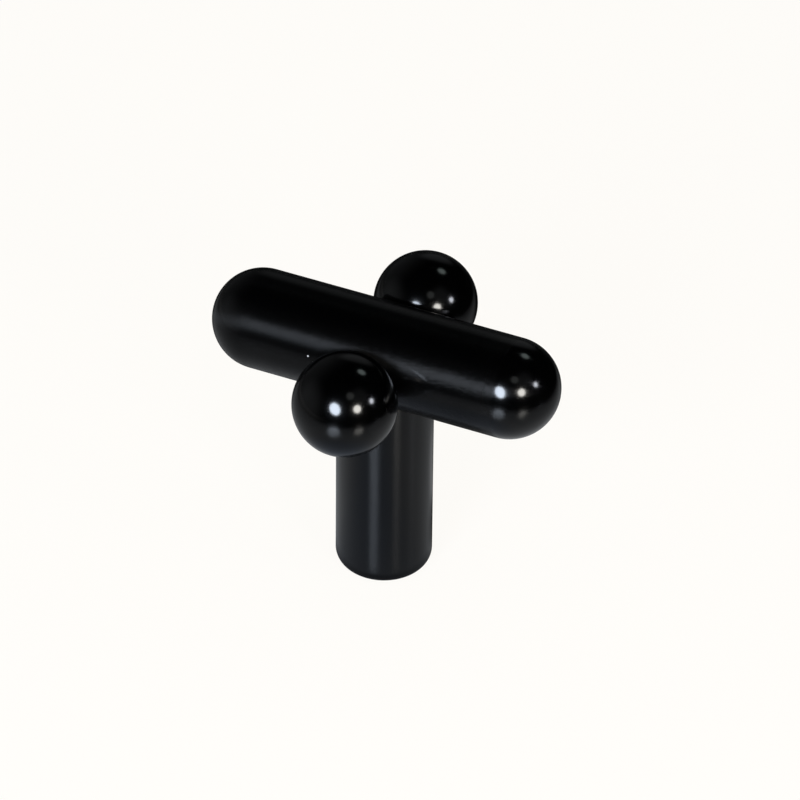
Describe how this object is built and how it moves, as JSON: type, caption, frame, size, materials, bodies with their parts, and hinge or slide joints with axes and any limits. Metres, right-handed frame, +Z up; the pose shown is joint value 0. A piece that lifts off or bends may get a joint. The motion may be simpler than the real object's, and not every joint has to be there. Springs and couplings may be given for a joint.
{
  "type": "bar knob",
  "caption": "Gloss black cabinet knob: a round cross bar with domed ends and a ball on each side, on a round stem with a tapped foot.",
  "frame": {"origin": "middle of the flat face of the foot, on the stem's axis", "axes": "+Z up the stem, +X along the cross bar, +Y from the front ball to the rear ball"},
  "size_m": [0.051, 0.0404, 0.0424],
  "materials": {
    "black_lacquer": "gloss",
    "plain_steel": "satin"
  },
  "bodies": {
    "root": {"cross_bar": "black_lacquer", "front_ball": "black_lacquer", "rear_ball": "black_lacquer", "ball_stud": "plain_steel", "stem": "black_lacquer", "stem_dowel": "plain_steel"}
  },
  "joints": []
}
